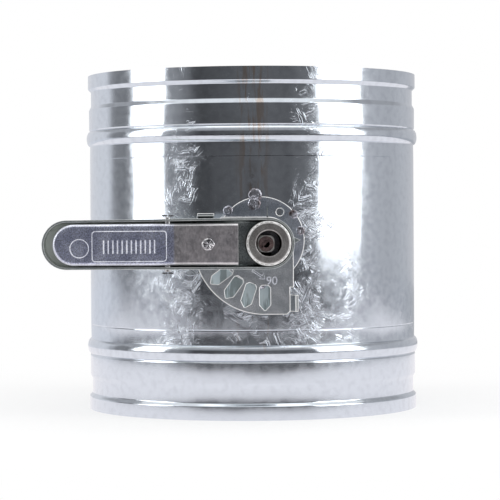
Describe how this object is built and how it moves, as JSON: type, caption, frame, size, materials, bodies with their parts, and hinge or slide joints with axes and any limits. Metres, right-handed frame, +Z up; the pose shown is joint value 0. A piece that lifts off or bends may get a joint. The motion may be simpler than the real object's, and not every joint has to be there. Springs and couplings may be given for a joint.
{
  "type": "duct damper",
  "caption": "Round sheet-metal volume damper: beaded duct spigots, round blade on a cross shaft, and a latching lever handle over a slotted quadrant plate.",
  "frame": {"origin": "centre of the lower rim, on the face that the duct stands on", "axes": "+Z up along the duct, -Y towards the handle, -X along the handle when the blade is closed"},
  "size_m": [0.2287, 0.2294, 0.204],
  "materials": {
    "galvanised_shell": "galvanised, with a fine spangle",
    "disc_steel": "zinc plated, dull",
    "weld_metal": "rough weld",
    "plated_steel": "zinc plated",
    "liner_plastic": "plain moulded",
    "quadrant_steel": "zinc plated, satin",
    "shaft_steel": "bright drawn bar, oiled",
    "blade_steel": "galvanised",
    "handle_steel": "zinc plated, satin",
    "hub_steel": "zinc plated, satin",
    "spring_steel": "plain spring steel",
    "lever_steel": "zinc plated, satin"
  },
  "bodies": {
    "housing": {"duct_shell": "galvanised_shell", "base_disc": "disc_steel", "tack_welds": "weld_metal", "front_bush": "plated_steel", "front_liner": "liner_plastic", "quadrant_spacer": "plated_steel", "quadrant_plate": "quadrant_steel", "friction_washer": "liner_plastic", "rear_bush": "plated_steel", "rear_liner": "liner_plastic", "rear_washer": "plated_steel"},
    "handle_and_blade": {"shaft": "shaft_steel", "blade": "blade_steel", "blade_straps": "blade_steel", "blade_rivets": "plated_steel", "handle_body": "handle_steel", "hub_cup": "hub_steel", "hub_clip": "spring_steel", "latch_pivot_pin": "plated_steel", "latch_spring": "spring_steel", "rear_clip": "spring_steel"},
    "latch": {"latch_lever": "lever_steel", "locking_pin": "plated_steel"}
  },
  "joints": [
    {"name": "handle_turn", "type": "hinge", "parent": "housing", "child": "handle_and_blade", "pos_m": [0, 0, 0.102], "axis": [0, -1, 0], "range_deg": [0, 90]},
    {"name": "latch_squeeze", "type": "hinge", "parent": "handle_and_blade", "child": "latch", "pos_m": [-0.0556, -0.11615, 0.102], "axis": [0, 0, 1], "range_deg": [-2.5, 4.1], "stiffness_Nm_per_rad": 0.25}
  ]
}
